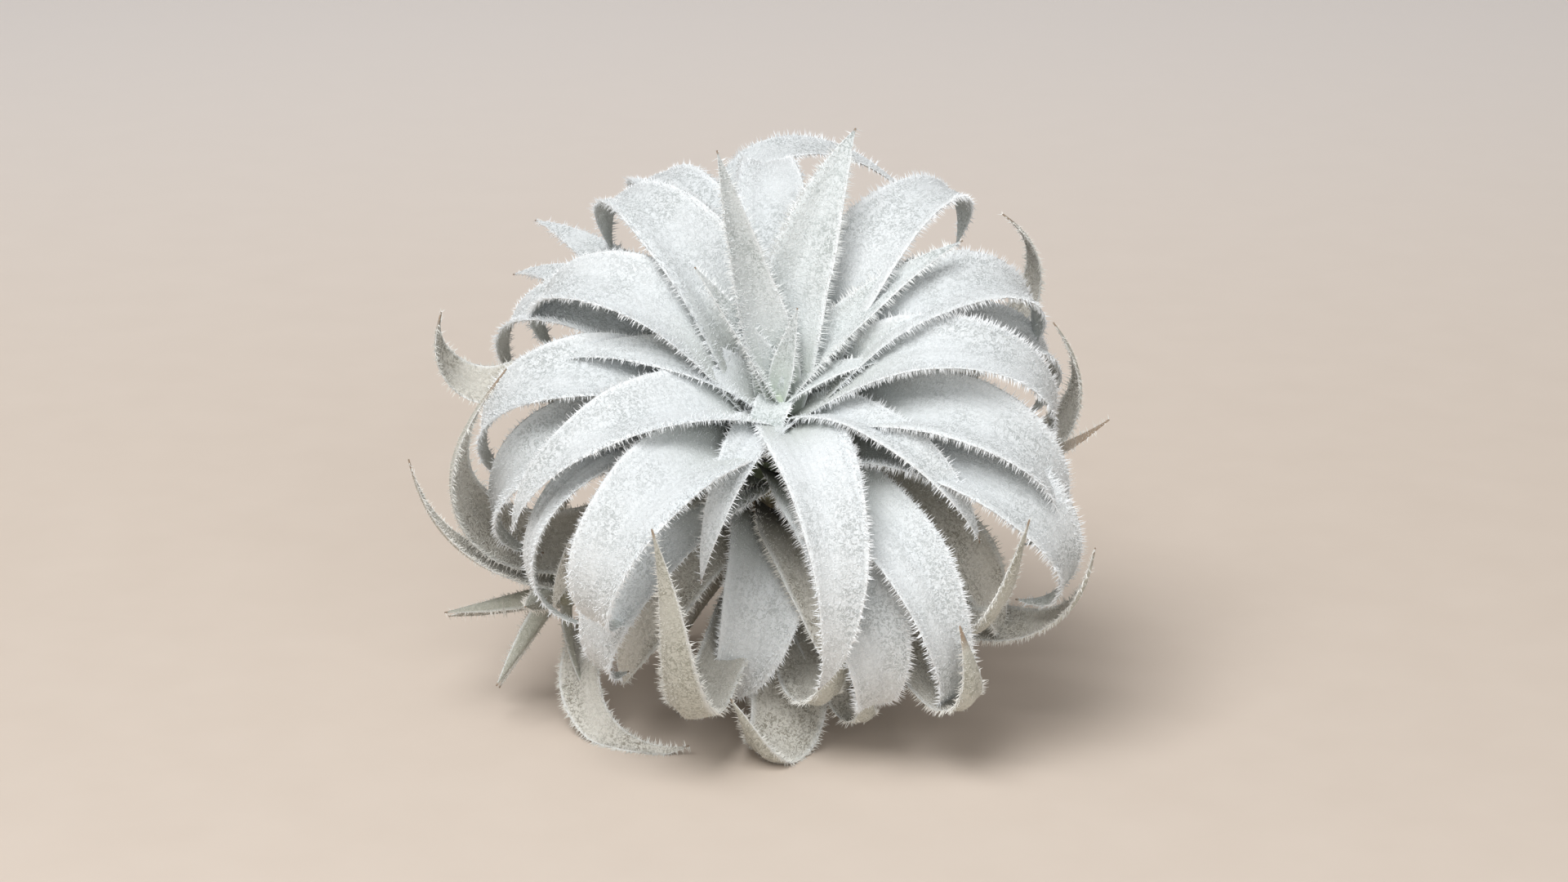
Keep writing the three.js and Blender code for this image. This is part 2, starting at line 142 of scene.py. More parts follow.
class Shade:
    """A socket in a material's nodes. Sums and products on it add Math nodes to the same material."""

    def __init__(self, tree, socket):
        self.tree = tree
        self.socket = socket

    def node(self, kind, settings, inputs, output=0):
        """Adds a node of a type, sets it up, feeds its sockets values or links, and gives an output."""
        made = self.tree.nodes.new("ShaderNode" + kind)
        for setting, value in settings.items():
            setattr(made, setting, value)
        for socket, value in inputs.items():
            if isinstance(value, Shade):
                self.tree.links.new(value.socket, made.inputs[socket])
            else:
                made.inputs[socket].default_value = value
        return Shade(self.tree, made.outputs[output])

    def maths(self, operation, first, second):
        """Adds a Math node that works on two values."""
        return self.node("Math", {"operation": operation}, {0: first, 1: second})

    def __add__(self, other):
        return self.maths("ADD", self, other)

    def __radd__(self, other):
        return self.maths("ADD", other, self)

    def __sub__(self, other):
        return self.maths("SUBTRACT", self, other)

    def __rsub__(self, other):
        return self.maths("SUBTRACT", other, self)

    def __mul__(self, other):
        return self.maths("MULTIPLY", self, other)

    def __rmul__(self, other):
        return self.maths("MULTIPLY", other, self)

    def step(self, low, high):
        """0 below low, 1 above high, and a smooth step between."""
        ends = {"Value": self, "From Min": low, "From Max": high}
        return self.node("MapRange", {"interpolation_type": "SMOOTHSTEP"}, ends)

    def mix(self, none, full):
        """A colour from none, where this value is 0, to full, where it is 1."""
        return self.node("Mix", {"data_type": "RGBA"}, {0: self, 6: none, 7: full}, 2)


def noise(place, scale, detail=2.0, roughness=0.5, distortion=0.0):
    """Cloudy noise from 0 to 1, with that many lumps to a metre of the place that it reads."""
    inputs = {"Vector": place, "Scale": scale, "Detail": detail}
    return place.node("TexNoise", {}, inputs | {"Roughness": roughness, "Distortion": distortion})


def new_material(name, roughness, sheen):
    """A material, its shader node with the values that are alike all over, and its object coordinates."""
    material = bpy.data.materials.new(name)
    material.use_nodes = True
    tree = material.node_tree
    shader = tree.nodes["Principled BSDF"]
    shader.inputs["Roughness"].default_value = roughness
    shader.inputs["Specular IOR Level"].default_value = SPECULAR_LEVEL
    shader.inputs["Sheen Weight"].default_value = sheen
    shader.inputs["Sheen Roughness"].default_value = SHEEN_ROUGHNESS
    place = Shade(tree, tree.nodes.new("ShaderNodeTexCoord").outputs["Object"])
    return material, shader, place


def feed(shader, socket, value):
    """Links a worked out colour, roughness or normal into the shader."""
    value.tree.links.new(value.socket, shader.inputs[socket])


def bump(height, strength, depth):
    """A normal from a height of 0 to 1 that stands for that many metres."""
    return height.node("Bump", {}, {"Strength": strength, "Distance": depth, "Height": height})


def bark_material():
    """Dry brown stem tissue: lengthwise fibres and grey dust on them, and still green near the top."""
    material, shader, place = new_material("dry_stem_bark", roughness=0.9, sheen=0.1)
    fibres = noise(place, 900, detail=4, roughness=0.6, distortion=1.5)
    dust = noise(place, 220, detail=3)
    colour = (dust.step(0.45, 0.7) * 0.6).mix(fibres.mix(DARK_BARK, LIGHT_BARK), BARK_DUST)
    along = place.node("Attribute", {"attribute_name": "along"}, {}, "Fac")
    feed(shader, "Base Color", along.step(0.35, 0.6).mix(GREEN_BARK, colour))
    feed(shader, "Normal", bump(fibres, strength=0.7, depth=SKIN_RELIEF))
    return material


def stem_surface(rings=60, around=48):
    """The column turned about its axis, with a groove at each leaf scar and fine ribs of fibre."""
    low = np.linspace(STEM_LENGTH, STEM_TOP, rings)[:, None]
    angle = np.linspace(0, 2 * np.pi, around, endpoint=False)[None, :]
    scars = 0.5 + 0.5 * np.cos(2 * np.pi * low / SCAR_SPACING + 2 * angle)
    radius = stem_radius(low) - SCAR_DEPTH * scars**4 + FIBRE_DEPTH * np.sin(FIBRES * angle + low)
    points = np.stack([radius * np.cos(angle), radius * np.sin(angle), -low + 0 * angle], -1)
    return in_plant(points), False, {"along": low / STEM_LENGTH + 0 * angle}


stem = put_surfaces("stem_bark", [stem_surface()], bark_material())
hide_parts("stem")

# The heart is the growing point: a closed pale green bud and the three smallest leaves round it. Like all
# leaves of this plant they are thin blades covered with a felt of short silver hairs, and they sit on a
# small round crown at the top of the stem.

# What a leaf's row may leave out: late is the power that delays its bend, snap the sharpness of its curl,
# fold the depth of its channel, taper where it starts to narrow, dry the share of its tip that is dry, and
# green the strength of its foot's colour. pale is 1 for an old leaf that has kept its silver felt. Angles
# are in degrees and lengths in millimetres.
USUAL = {"late": 1.15, "curl": 0, "curl_at": 0.5, "snap": 1.7, "sway": 0, "sway_at": 0, "roll": 0,
         "fold": 0.28, "taper": 0.3, "dry": 0.012, "green": 1, "pale": 0}
LEAF_START = 0.45
SWAY_POWER = 1.2
PATH_STEPS = 240
LEAST_TURN = 0.35
BASE_WIDTH_SHARE = 0.7
FULL_WIDTH_AT = 0.25
TAPER_POWER = 1.5
TIP_HALF_WIDTH = 0.16
MIDDLE_THICKNESS = 1.45
EDGE_THICKNESS = 0.9
THINNING = 0.5
TIP_THICKNESS_SHARE = 0.3
FLATTENING = 0.3
FOOT_CHANNEL = 1.3
BROAD_WAVE = 0.02
SHORT_WAVE = 0.015
FINE_GROOVES = 2.3
FINE_DEPTH = 0.35
RIPPLE_DEPTH = 0.9
GREEN_FADE = 1.3
RELIEF_RISE = 0.7
FULL_RELIEF_HALF = 4
UNDER_FACE = -0.01
AROUND_BLADE = 22
BLADE_STATIONS = 52
GROUND_CLEARANCE = 0.00035
CROWN_RADIUS = 2.4
CROWN_DROP = 1.3
HAIRS_PER_MM2 = 1.25
HAIR_LENGTH = 0.55
HAIR_RADIUS = 0.07
HAIR_SINK = 0.08
HAIR_LENGTHS = (0.45, 1.25)
HAIR_LEANS = (8, 70)
HAIR_SWING = 65
EDGE_POWER = 6
EDGE_HAIRS = 6.0
EDGE_LENGTHENING = 1.4
EDGE_THICKENING = 0.6
EDGE_STANDING = 0.5
EDGE_SPREAD = 1.0
UNDER_THINNING = 0.5
BARE_BELOW = 0.06
FULL_FELT_AT = 0.2
FELT_WHITE = (0.9, 0.92, 0.92, 1)
RIM_WHITE = (0.87, 0.9, 0.91, 1)
UNDER_GREY = (0.44, 0.47, 0.39, 1)
# The nearly black hidden end of a leaf's foot: the hairless skin's own dark and painted shade of the
# hollows.
BARE_DARK_AND_SHADE = (0.05, 0.045, 0.03, 1)
DRY_DARK = (0.2, 0.13, 0.08, 1)
DRY_TAN = (0.5, 0.4, 0.3, 1)


def turn_pair(first, second, angle):
    """Turns two perpendicular unit vectors in their plane, from the first towards the second."""
    c = np.cos(angle)[:, None]
    s = np.sin(angle)[:, None]
    return first * c + second * s, second * c - first * s


def leaf_frames(leaves, start_share, least_start=0.0):
    """Walks along all the leaves of a group together. Each leaves the stem at turn round it and low below
    the growing point, rises by rise off the axis, bends outwards by bend, curls back by curl from curl_at
    on, sways sideways from sway_at on and rolls. The result holds, for each step and leaf, the place and
    the unit vectors along, across and up, and the angle turned so far."""
    value = {key: np.array([{**USUAL, **leaf}[key] for leaf in leaves], float)
             for key in leaves[0].keys() | USUAL.keys()}
    turn = np.radians(value["turn"])
    rise = np.radians(value["rise"])[:, None]
    zero = np.zeros(len(leaves))
    out = np.stack([np.sin(turn), -np.cos(turn), zero], -1)
    across = np.stack([np.cos(turn), np.sin(turn), zero], -1)
    axis = np.array([[0.0, 0.0, 1.0]])
    along = axis * np.cos(rise) + out * np.sin(rise)
    up = axis * np.sin(rise) - out * np.cos(rise)
    start = np.maximum(stem_radius(value["low"]) * start_share, least_start)
    place = out * start[:, None] - axis * value["low"][:, None]
    t = np.linspace(0, 1, PATH_STEPS + 1)[:, None]
    curled = 1 - (1 - np.clip((t - value["curl_at"]) / (1 - value["curl_at"]), 0, 1)) ** value["snap"]
    swayed = np.clip((t - value["sway_at"]) / (1 - value["sway_at"]), 0, 1) ** SWAY_POWER
    pitch = np.diff(np.radians(value["bend"] * t ** value["late"] + value["curl"] * curled), axis=0)
    yaw = np.diff(np.radians(value["sway"] * swayed), axis=0)
    roll = np.diff(np.radians(value["roll"] * t), axis=0)
    frames = [(place, along, across, up)]
    for k in range(PATH_STEPS):
        before = along
        along, up = turn_pair(along, up, -pitch[k])
        along, across = turn_pair(along, across, yaw[k])
        across, up = turn_pair(across, up, roll[k])
        place = place + (before + along) * (value["long"] / PATH_STEPS / 2)[:, None]
        frames.append((place, along, across, up))
    turned = np.cumsum(np.hypot(pitch, yaw) + 0.5 * np.abs(roll), axis=0)
    return np.array(frames), np.concatenate([zero[None, :], turned])


def at_stations(frames, turned, stations):
    """Picks stations along one leaf, closer together where it turns, and gives t and the frame there."""
    t = np.linspace(0, 1, PATH_STEPS + 1)
    measure = (t + turned / max(turned[-1], LEAST_TURN)) / 2
    chosen = np.interp(np.linspace(0, measure[-1], stations), measure, t)
    step = np.minimum((chosen * PATH_STEPS).astype(int), PATH_STEPS - 1)
    share = (chosen * PATH_STEPS - step)[:, None, None]
    return chosen[:, None], frames[step] * (1 - share) + frames[step + 1] * share


def width_share(t, taper_from):
    """The share of its full width that a blade has at t along it. It grows from the base's share to all of
    it by a quarter of a sine wave, times one less a power of how far t is into the taper."""
    widening = np.sin(np.minimum(t / FULL_WIDTH_AT, 1) * np.pi / 2)
    taper = np.clip((t - taper_from) / (1 - taper_from), 0, 1)
    return (BASE_WIDTH_SHARE + (1 - BASE_WIDTH_SHARE) * widening) * (1 - taper**TAPER_POWER)


def on_ground(points, under):
    """Keeps a leaf's lower face on the ground and its upper face just clear of it, in metres."""
    least = np.where(under > 0.5, 0, GROUND_CLEARANCE)
    lifted = points.copy()
    lifted[..., 2] = np.maximum(points[..., 2], least)
    return lifted


def blade(leaf, frames, turned, random, look, stations=BLADE_STATIONS):
    """A leaf's blade as rings of points round it. side is the cosine and face the sine of the angle round
    the ring, so that the edges are round. The blade's middle line sags into a channel, its faces carry
    a few lengthwise grooves, and its edges ripple a little."""
    leaf = {**USUAL, **leaf}
    t, found = at_stations(frames, turned, stations)
    place, along, across, up = np.moveaxis(found, 1, 0)[:, :, None, :]
    angle = np.linspace(0, 2 * np.pi, AROUND_BLADE, endpoint=False)[None, :]
    side = np.cos(angle)
    face = np.sin(angle)
    phase = random.uniform(0, 2 * np.pi, 8)
    uneven = 1 + BROAD_WAVE * np.sin(9 * t + phase[0]) + SHORT_WAVE * np.sin(23 * t + phase[1] + 2 * side)
    half = np.maximum(leaf["wide"] / 2 * width_share(t, leaf["taper"]) * uneven, TIP_HALF_WIDTH)
    thinning = 1 - (1 - TIP_THICKNESS_SHARE) * t**4
    middle = (MIDDLE_THICKNESS - THINNING * t) / 2 * thinning
    edge = EDGE_THICKNESS / 2 * thinning
    body = edge + (middle - edge) * (1 - side**2)
    fold = leaf["fold"] * (1 - FLATTENING * t) * (1 + FOOT_CHANNEL * (1 - t) ** 2)
    channel = fold * half * np.abs(side) ** look["channel"]
    held = np.sin(np.pi * np.clip(t, 0, 1) ** RELIEF_RISE) * np.minimum(half / FULL_RELIEF_HALF, 1)
    waves = look["grooves"] * np.pi
    grooves = np.cos(waves * side + phase[2] + 1.5 * np.sin(3 * t + phase[3])) * (1 - side**4)
    fine = np.cos(FINE_GROOVES * waves * side + phase[4] + 2 * t) * (1 - side**4)
    ripple = np.abs(side) ** 3 * np.sin(11 * t + phase[5] + np.where(side > 0, 2.0, 0.0))
    relief = look["relief"] * (grooves + FINE_DEPTH * fine + RIPPLE_DEPTH * ripple)
    height = channel + face * body + held * relief
    points = in_plant(place + across * (side * half)[..., None] + up * height[..., None])
    under = (face < UNDER_FACE) * 1.0
    whole = np.ones_like(side)
    green = leaf["green"] * look["green"] * np.clip(1 - t / look["green_to"], 0, 1) ** GREEN_FADE
    dry = np.clip((t - 1 + leaf["dry"]) / leaf["dry"], 0, 1)
    fields = {"along": t * whole, "side": side * np.ones_like(t), "under": under * np.ones_like(t),
              "green": green * whole, "dry": dry * whole,
              "tone": np.full(points.shape[:2], random.uniform(0, 1))}
    return on_ground(points, fields["under"]), False, fields


def even_fields(shape, along=0.0, under=0.0, green=0.0, dry=0.0, tone=0.5):
    """The fields of a surface that is alike all over."""
    values = {"along": along, "side": 0.0, "under": under, "green": green, "dry": dry, "tone": tone}
    return {field: np.full(shape, value) for field, value in values.items()}


def crown_surface(radius, centre, rings=10, around=20):
    """A ball as rings about its own axis, smooth and closed at both poles."""
    angle = np.linspace(-0.48, 0.48, rings)[:, None] * np.pi
    turn = np.linspace(0, 2 * np.pi, around, endpoint=False)[None, :]
    width = radius * np.cos(angle)
    level = radius * np.sin(angle) + 0 * turn
    points = np.stack([width * np.cos(turn), width * np.sin(turn), level], -1)
    return points + np.array(centre), even_fields((rings, around), green=0.7)


def unit(vectors):
    """Vectors divided by their lengths. A vector of no length stays as it is."""
    return vectors / np.maximum(np.linalg.norm(vectors, axis=-1, keepdims=True), 1e-12)


def hair_roots(points, fields, density, random):
    """Scatters roots evenly over a ringed surface, more of them along a leaf's edges, fewer on its under
    side and none on its hidden base. Gives each root's place, the surface's outward normal there, the ways
    to the tip and out from the blade's middle line, and how near it is to an edge."""
    a = points[:-1]
    outward = a - a.mean(axis=1, keepdims=True)
    d = points[1:]
    b = np.roll(a, -1, axis=1)
    c = np.roll(d, -1, axis=1)
    normal = np.cross(c - a, d - b)
    area = np.linalg.norm(normal, axis=-1) / 2
    along = fields["along"][:-1]
    edge = np.abs(fields["side"][:-1]) ** EDGE_POWER
    cover = np.clip((along - BARE_BELOW) / (FULL_FELT_AT - BARE_BELOW), 0, 1)
    shown = 1 - UNDER_THINNING * fields["under"][:-1] * (1 - edge)
    weight = (area * (1 + EDGE_HAIRS * edge) * cover * shown / MM**2).ravel()
    drawn = random.uniform(0, weight.sum(), int(weight.sum() * density))
    chosen = np.minimum(np.searchsorted(np.cumsum(weight), drawn), len(weight) - 1)
    u, v = random.uniform(0, 1, (2, len(chosen), 1))
    a, b, c, d, normal, outward = (part.reshape(-1, 3)[chosen] for part in (a, b, c, d, normal, outward))
    edge = edge.reshape(-1, 1)[chosen]
    root = (a * (1 - u) + b * u) * (1 - v) + (d * (1 - u) + c * u) * v
    forward = (d + c) - (a + b)
    return root, unit(normal), unit(forward), unit(outward), edge


def felt(name, surfaces, density, length, material, random):
    """The hairs of one piece, each a closed spike with three sides. They stand between nearly upright and
    nearly flat, mostly leaning towards the leaf's tip, are longer and stand out more along the edges, and
    none goes into the ground."""
    parts = [hair_roots(points, fields, density, random) for points, closed, fields in surfaces]
    root, normal, forward, outward, edge = (np.concatenate(part) for part in zip(*parts))
    count = len(root)
    sideways = np.cross(normal, forward)
    flat = np.radians(random.uniform(*HAIR_LEANS, (count, 1))) * (1 - EDGE_STANDING * edge)
    swing = np.radians(random.normal(0, HAIR_SWING, (count, 1)))
    way = normal * np.cos(flat) + (forward * np.cos(swing) + sideways * np.sin(swing)) * np.sin(flat)
    way = unit(way + outward * EDGE_SPREAD * edge)
    long = length * random.uniform(*HAIR_LENGTHS, (count, 1)) * (1 + EDGE_LENGTHENING * edge) * MM
    radius = HAIR_RADIUS * (1 + EDGE_THICKENING * edge)
    first = unit(np.cross(way, forward + 0.3 * normal))
    second = np.cross(way, first)
    corners = [root + way * long]
    for k in range(3):
        turn = 2 * np.pi * k / 3
        round_root = (first * math.cos(turn) + second * math.sin(turn)) * radius * MM
        corners.append(root + round_root - normal * HAIR_SINK * MM)
    points = np.stack(corners, 1)
    points[..., 2] = np.maximum(points[..., 2], 0)
    spike = np.array([[1, 2, 0], [2, 3, 0], [3, 1, 0], [3, 2, 1]])
    triangles = (np.arange(count)[:, None, None] * 4 + spike).reshape(-1, 3)
    quads = np.zeros((0, 4), int)
    return put_mesh(name, points.reshape(-1, 3), quads, triangles, {}, material, smooth=False)


def leaf_material(name, silver, gap, gaps, foot, bare_and_shade, white_edge):
    """Felted leaf skin. Tufts of silver hair about half a millimetre across leave gaps of a darker colour
    between them, more of them in some patches. The foot has its own colour, and its hidden end is hairless
    and nearly black, partly the skin's own dark and partly painted shade of the deep hollows between the
    leaves. The edges are whiter, streaks run lengthwise, the under side is greyer and the tip dries brown."""
    material, shader, place = new_material(name, roughness=0.85, sheen=0.2)
    field = {key: place.node("Attribute", {"attribute_name": key}, {}, "Fac")
             for key in ("along", "side", "under", "green", "dry", "tone")}
    patches = noise(place, 110)
    tufts = noise(place, 1500, detail=3, roughness=0.65, distortion=1.2)
    specks = noise(place, 3600)
    stretched = {"X": field["side"] * 5, "Y": field["along"] * 1.1, "Z": field["tone"] * 9}
    streaks = noise(place.node("CombineXYZ", {}, stretched), 2.2, detail=3, roughness=0.6)
    edge = (field["side"] * field["side"]).step(0.6, 1.0)
    outer = field["along"].step(0.15, 0.6)
    open_felt = (0.25 + 0.75 * patches.step(0.32, 0.64)) * (0.12 + 0.88 * outer) * (1 - 0.7 * edge)
    dark = tufts.step(0.44, 0.6) * open_felt * gaps
    shade = (streaks.step(0.4, 0.75) * 0.16 + outer * 0.12).mix(silver, gap)
    colour = dark.mix(shade, gap)
    colour = (specks.step(0.56, 0.72) * 0.35).mix(colour, FELT_WHITE)
    colour = (field["under"] * 0.35).mix(colour, UNDER_GREY)
    colour = (field["green"] * (0.75 + 0.4 * streaks)).mix(colour, foot)
    colour = (edge * white_edge * (1 - 0.6 * field["green"])).mix(colour, RIM_WHITE)
    # Painted shade as well as the hairless skin's own dark: the hidden end of the foot goes nearly black,
    # standing for the deep hollows between the leaves.
    colour = (field["green"].step(0.5, 0.8) * bare_and_shade).mix(colour, BARE_DARK_AND_SHADE)
    colour = field["dry"].step(0.05, 0.75).mix(colour, tufts.mix(DRY_DARK, DRY_TAN))
    feed(shader, "Base Color", colour)
    feed(shader, "Roughness", 0.72 + 0.25 * tufts)
    relief = tufts * 0.75 + specks * 0.4 + streaks * 0.3
    feed(shader, "Normal", bump(relief, strength=0.8, depth=SKIN_RELIEF))
    return material


def hair_material(name, colour):
    """Dead silver hairs full of air: pale, matt, with a soft sheen."""
    material, shader = new_material(name, roughness=0.6, sheen=0.3)[:2]
    shader.inputs["Base Color"].default_value = colour
    return material


def put_leaf(node, surfaces, skin, hairs, seed, density=HAIRS_PER_MM2, length=HAIR_LENGTH):
    """A node's blade and the felt on it. The blade stands for the node."""
    body = put_surfaces(node + "_blade", surfaces, skin)
    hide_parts(node)
    fuzz = felt(node + "_felt", surfaces, density, length, hairs, np.random.default_rng(seed))


def blades(leaves, look, seed, start_share=LEAF_START, least_start=0.0):
    """The blades of a group of leaves, whose small unevennesses are drawn in turn from one seed."""
    frames, turned = leaf_frames(leaves, start_share, least_start)
    random = np.random.default_rng(seed)
    return [blade(leaf, frames[:, :, k], turned[:, k], random, look) for k, leaf in enumerate(leaves)]


heart_leaves = [
    {"turn": 150, "low": -0.5, "rise": 10, "bend": 5, "long": 5, "wide": 2.4, "fold": 0.5},
    {"turn": 150, "low": 0, "rise": 12.5, "bend": 10, "long": 18, "wide": 4.5, "fold": 0.6},
    {"turn": -20, "low": 1.3, "rise": 20, "bend": 215, "long": 11, "wide": 6.4, "late": 1.1,
     "fold": 0.3, "taper": 0.75, "green": 0.25},
    {"turn": 86, "low": 1.3, "rise": 31, "bend": 52, "long": 22, "wide": 5.5, "green": 0.4},
]

# How a group's blades look: the number of lengthwise waves on their faces and their height, the power of the
# channel's curve, how green their feet are, and how far along the leaf that reaches.
heart_look = {"grooves": 1.2, "relief": 0.06, "channel": 1.3, "green": 0.5, "green_to": 0.7}
young_skin = leaf_material("young_leaf_skin", silver=(0.77, 0.81, 0.82, 1), gap=(0.36, 0.4, 0.39, 1),
                           gaps=0.85, foot=(0.4, 0.49, 0.33, 1), bare_and_shade=0, white_edge=1)
young_hairs = hair_material("young_leaf_hairs", (0.9, 0.925, 0.925, 1))
crown, crown_fields = crown_surface(CROWN_RADIUS, (0, 0, -CROWN_DROP))
heart_parts = [(in_plant(crown), False, crown_fields)] + blades(heart_leaves, heart_look, seed=11)
put_leaf("heart", heart_parts, young_skin, young_hairs, seed=12, length=0.4)

# The spear leaves are the newest full leaves. They stand upright round the heart, folded lengthways along
# the middle, pale green at the foot, with a whiter rim of hair along both edges.
spear_leaves = [
    {"turn": -115, "low": 1.5, "rise": 22, "bend": 15, "long": 31, "wide": 6, "fold": 0.6},
    {"turn": -149, "low": 3, "rise": 23, "bend": 0, "long": 49.5, "wide": 9, "fold": 0.6},
    {"turn": 168, "low": 4, "rise": 25, "bend": 35, "long": 52, "wide": 11.5, "sway": -18,
     "sway_at": 0.15, "taper": 0.5, "fold": 0.4},
    {"turn": 120, "low": 3, "rise": 33, "bend": 50, "long": 44, "wide": 8, "fold": 0.6},
]
spear_look = {"grooves": 1.6, "relief": 0.3, "channel": 1.15, "green": 0.5, "green_to": 0.36}
for k, surface in enumerate(blades(spear_leaves, spear_look, seed=21)):
    put_leaf(f"spear_leaf_{k + 1}", [surface], young_skin, young_hairs,
             seed=200 + k, density=1.8, length=0.62)

# The young leaves are the short ones that arch towards the front of the plant. Their felt is closed and
# nearly white, and their feet are dark green and nearly hairless, the hidden end of each foot darkened
# further by painted shade.
young_leaves = [
    {"turn": -22, "low": 6, "rise": 38, "bend": 130, "long": 43.5, "wide": 9, "taper": 0.12, "dry": 0.03},
    {"turn": -97, "low": 4, "rise": 38, "bend": 85, "long": 43, "wide": 10},
    {"turn": 52, "low": 5, "rise": 36, "bend": 125, "long": 52, "wide": 8, "taper": 0.45, "dry": 0.05},
    {"turn": 17, "low": 6.5, "rise": 36, "bend": 158, "long": 67, "wide": 14, "late": 1,
     "sway": -25, "sway_at": 0.35},
    {"turn": -65.5, "low": 6, "rise": 43, "bend": 130, "long": 63, "wide": 14, "late": 1.4},
]
young_look = {"grooves": 1.7, "relief": 0.3, "channel": 1.5, "green": 0.8, "green_to": 0.3}
silver_skin = leaf_material("silver_leaf_skin", silver=(0.81, 0.845, 0.865, 1), gap=(0.37, 0.4, 0.4, 1),
                            gaps=0.8, foot=(0.19, 0.22, 0.12, 1), bare_and_shade=0.9, white_edge=0.8)
silver_hairs = hair_material("silver_leaf_hairs", (0.89, 0.915, 0.93, 1))
for k, surface in enumerate(blades(young_leaves, young_look, seed=31)):
    put_leaf(f"young_leaf_{k + 1}", [surface], silver_skin, silver_hairs, seed=300 + k)

# The arching leaves are the full-grown ones. They rise from the stem, arch out all round and hang back
# towards it, with two or three soft grooves along the upper face and a dense fringe of hair on the edges.
arching_leaves = [
    {"turn": 87, "low": 7, "rise": 33, "bend": 205, "long": 76, "wide": 14, "late": 1.75},
    {"turn": 113, "low": 7, "rise": 34, "bend": 190, "long": 75, "wide": 15, "late": 1.85},
    {"turn": 140, "low": 8, "rise": 30, "bend": 180, "long": 76, "wide": 14, "late": 2.15},
    {"turn": -177, "low": 8, "rise": 30, "bend": 180, "long": 72, "wide": 14, "late": 2.15},
    {"turn": -114, "low": 8, "rise": 34, "bend": 195, "long": 71, "wide": 15, "late": 2.05},
    {"turn": -142, "low": 9, "rise": 32, "bend": 180, "long": 75, "wide": 15, "late": 2.15},
    {"turn": -154, "low": 12, "rise": 38, "bend": 180, "long": 82, "wide": 15, "late": 2.15},
    {"turn": -39, "low": 10, "rise": 52, "bend": 215, "long": 76, "wide": 16, "late": 2.2},
    {"turn": 35, "low": 16, "rise": 54, "bend": 190, "long": 81, "wide": 12.5, "late": 1.6, "dry": 0.06},
    {"turn": 70, "low": 10, "rise": 44, "bend": 195, "long": 78, "wide": 15, "late": 1.85},
    {"turn": -4, "low": 30, "rise": 37, "bend": 188, "long": 53, "wide": 15.5, "late": 1,
     "sway": -50, "sway_at": 0.25, "taper": 0.38},
    {"turn": -91, "low": 11, "rise": 46, "bend": 190, "long": 78, "wide": 15, "late": 1.85},
    {"turn": 22, "low": 15.5, "rise": 62, "bend": 200, "long": 74, "wide": 15, "late": 1.65},
    {"turn": -116, "low": 13, "rise": 46, "bend": 170, "long": 77, "wide": 15, "late": 1.95},
    {"turn": 62, "low": 13, "rise": 57, "bend": 200, "long": 82, "wide": 16, "late": 2.2},
    {"turn": -66, "low": 13, "rise": 50, "bend": 205, "long": 79, "wide": 8, "late": 1.75, "roll": 30},
    {"turn": 110, "low": 14, "rise": 47, "bend": 185, "long": 74, "wide": 15, "late": 2.05},
    {"turn": -78, "low": 14, "rise": 52, "bend": 195, "long": 77, "wide": 15, "late": 1.85},
    {"turn": -43, "low": 17, "rise": 70, "bend": 175, "long": 67, "wide": 15, "late": 2},
    {"turn": 136, "low": 15, "rise": 48, "bend": 195, "long": 76, "wide": 15, "late": 1.85},
    {"turn": 163, "low": 16, "rise": 50, "bend": 195, "long": 76, "wide": 15, "late": 1.85},
    {"turn": -172, "low": 17, "rise": 52, "bend": 195, "long": 76, "wide": 15, "late": 1.85},
]
ARCHING_TAPER = 0.45
arching_look = {"grooves": 2.0, "relief": 0.42, "channel": 1.7, "green": 0.9, "green_to": 0.42}
arching_rows = [{"taper": ARCHING_TAPER, **leaf} for leaf in arching_leaves]
for k, surface in enumerate(blades(arching_rows, arching_look, seed=41)):
    put_leaf(f"arching_leaf_{k + 1}", [surface], silver_skin, silver_hairs, seed=400 + k)

# The lower leaves are an older layer under the arching ones, greyer, with the felt worn thin so that the
# dark skin shows between the tufts. The first two have kept their silver felt.
lower_leaves = [
    {"turn": -130, "low": 15, "rise": 47, "bend": 85, "long": 68, "wide": 11, "late": 1.2,
     "taper": 0.5, "pale": 1},
    {"turn": -139, "low": 20, "rise": 49, "bend": 66, "long": 72, "wide": 10, "late": 1.2,
     "taper": 0.5, "pale": 1},
    {"turn": 148, "low": 24, "rise": 70, "bend": 130, "long": 66, "wide": 14, "late": 1.3},
    {"turn": 176, "low": 26, "rise": 74, "bend": 130, "long": 63, "wide": 14, "late": 1.3},
    {"turn": -155, "low": 25, "rise": 72, "bend": 130, "long": 64, "wide": 14, "late": 1.3},
    {"turn": -116, "low": 26, "rise": 84, "bend": 100, "long": 62, "wide": 13, "late": 1.3},
    {"turn": 130, "low": 27, "rise": 84, "bend": 105, "long": 64, "wide": 13, "late": 1.3},
    {"turn": -62, "low": 19, "rise": 60, "bend": 110, "long": 53, "wide": 15, "late": 1.3},
    {"turn": -47, "low": 26, "rise": 84, "bend": 85, "long": 46, "wide": 13, "late": 1.3, "taper": 0.6},
    {"turn": 14, "low": 24, "rise": 70, "bend": 75, "long": 40, "wide": 14, "late": 1.3},
    {"turn": 61, "low": 20, "rise": 66, "bend": 118, "long": 57, "wide": 14, "late": 1.3, "taper": 0.6},
]
lower_look = {"grooves": 1.8, "relief": 0.32, "channel": 1.7, "green": 1.0, "green_to": 0.65}
old_skin = leaf_material("old_leaf_skin", silver=(0.76, 0.74, 0.68, 1), gap=(0.28, 0.26, 0.21, 1),
                         gaps=0.95, foot=(0.08, 0.07, 0.045, 1), bare_and_shade=1, white_edge=0.7)
